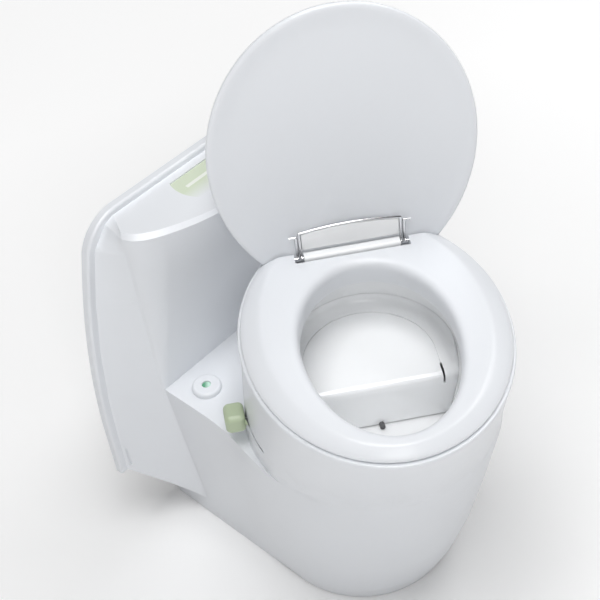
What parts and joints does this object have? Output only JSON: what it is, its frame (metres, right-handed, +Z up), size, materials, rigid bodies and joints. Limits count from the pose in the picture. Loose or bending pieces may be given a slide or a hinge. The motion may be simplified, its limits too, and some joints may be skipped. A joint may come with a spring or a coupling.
{
  "type": "cassette toilet",
  "caption": "Fixed swivel-bowl cassette toilet for a caravan: pedestal with wall flange and console, turning bowl with seat and lid, and a sliding waste tank.",
  "frame": {"origin": "on the bowl's turning axis, at floor level, on the floor plate's underside", "axes": "+Z up, +Y towards the wall and the service hatch, -Y towards the front of the pedestal"},
  "size_m": [0.42, 0.5145, 0.7748],
  "materials": {
    "white_shell": "glossy white moulded plastic",
    "white_bowl": "glossy white inner bowl",
    "grey_inner": "plain grey inner moulding",
    "dark_inner": "dark grey moulding",
    "panel_green": "pale green panel",
    "knob_green": "soft green knob",
    "lens_green": "green window",
    "button_grey": "light grey button",
    "board_green": "circuit board",
    "steel": "bright steel",
    "rubber": "soft black rubber",
    "tank_grey": "blow-moulded light grey plastic",
    "tank_trim": "mid grey plastic",
    "wheel_black": "black plastic wheel"
  },
  "bodies": {
    "base": {"base_shell": "white_shell", "base_floor": "grey_inner", "guide_rails": "grey_inner", "console_shell": "white_shell", "rear_flange": "white_shell", "control_panel": "panel_green", "control_board": "board_green", "gauge_housing": "white_shell", "gauge_lens": "lens_green", "bearing_ring": "grey_inner", "bearing_screws": "steel", "water_valve": "dark_inner", "flush_hose": "rubber", "hose_elbow": "grey_inner"},
    "flush_button": {"flush_button": "button_grey"},
    "bowl": {"bowl_floor": "grey_inner", "retaining_ring": "grey_inner", "bowl_skirt": "white_shell", "bowl_liner": "white_bowl", "plateau_insert": "white_bowl", "valve_seal": "rubber", "valve_pivot": "steel", "rim_ring": "white_shell", "flush_nozzle": "grey_inner", "hinge_block": "white_shell"},
    "valve": {"valve_blade": "grey_inner", "valve_lever": "dark_inner", "valve_knob": "knob_green"},
    "seat": {"seat_ring": "white_shell", "seat_bumpers": "rubber"},
    "lid": {"lid_shell": "white_shell", "lid_hinge_wire": "steel"},
    "tank": {"tank_body": "tank_grey", "tank_inlet_seal": "rubber", "wheel_axles": "steel", "handle_brackets": "tank_grey", "spout_collar": "tank_grey", "vent_housing": "tank_grey"},
    "wheel_left": {"wheel_left": "wheel_black"},
    "wheel_right": {"wheel_right": "wheel_black"},
    "handle": {"tank_handle": "tank_trim"},
    "spout": {"spout_elbow": "tank_trim"},
    "cap": {"spout_cap": "tank_trim"},
    "vent_button": {"vent_button": "tank_trim"}
  },
  "joints": [
    {"name": "bowl_swivel", "type": "hinge", "parent": "base", "child": "bowl", "pos_m": [0, 0, 0.27], "axis": [0, 0, 1], "range_deg": [-51, 129]},
    {"name": "valve_swing", "type": "hinge", "parent": "bowl", "child": "valve", "pos_m": [-0.12502, 0.03947, 0.3], "axis": [0, 0, 1], "range_deg": [0, 60]},
    {"name": "seat_hinge", "type": "hinge", "parent": "bowl", "child": "seat", "pos_m": [0.04909, 0.06062, 0.457], "axis": [-0.7771, 0.6293, 0], "range_deg": [0, 88]},
    {"name": "lid_hinge", "type": "hinge", "parent": "bowl", "child": "lid", "pos_m": [0.04909, 0.06062, 0.457], "axis": [-0.7771, 0.6293, 0], "range_deg": [-91, 0]},
    {"name": "flush_press", "type": "slide", "parent": "base", "child": "flush_button", "axis": [0, 0, -1], "range_m": [0, 0.003], "stiffness_N_per_m": 400, "springref_m": -0.002},
    {"name": "tank_slide", "type": "slide", "parent": "base", "child": "tank", "axis": [0, 1, 0], "range_m": [0, 0.4]},
    {"name": "handle_fold", "type": "hinge", "parent": "tank", "child": "handle", "pos_m": [0, 0.256, 0.212], "axis": [1, 0, 0], "range_deg": [0, 90]},
    {"name": "spout_swing", "type": "hinge", "parent": "tank", "child": "spout", "pos_m": [-0.08, 0.266, 0.07], "axis": [0, -1, 0], "range_deg": [0, 90]},
    {"name": "cap_turn", "type": "hinge", "parent": "spout", "child": "cap", "pos_m": [0, 0.266, 0.07], "axis": [1, 0, 0], "continuous": true},
    {"name": "vent_press", "type": "slide", "parent": "tank", "child": "vent_button", "axis": [0, -1, 0], "range_m": [0, 0.004], "stiffness_N_per_m": 400, "springref_m": -0.002},
    {"name": "wheel_left_spin", "type": "hinge", "parent": "tank", "child": "wheel_left", "pos_m": [-0.095, 0.205, 0.0213], "axis": [1, 0, 0], "continuous": true},
    {"name": "wheel_right_spin", "type": "hinge", "parent": "tank", "child": "wheel_right", "pos_m": [0.095, 0.205, 0.0213], "axis": [1, 0, 0], "continuous": true}
  ]
}
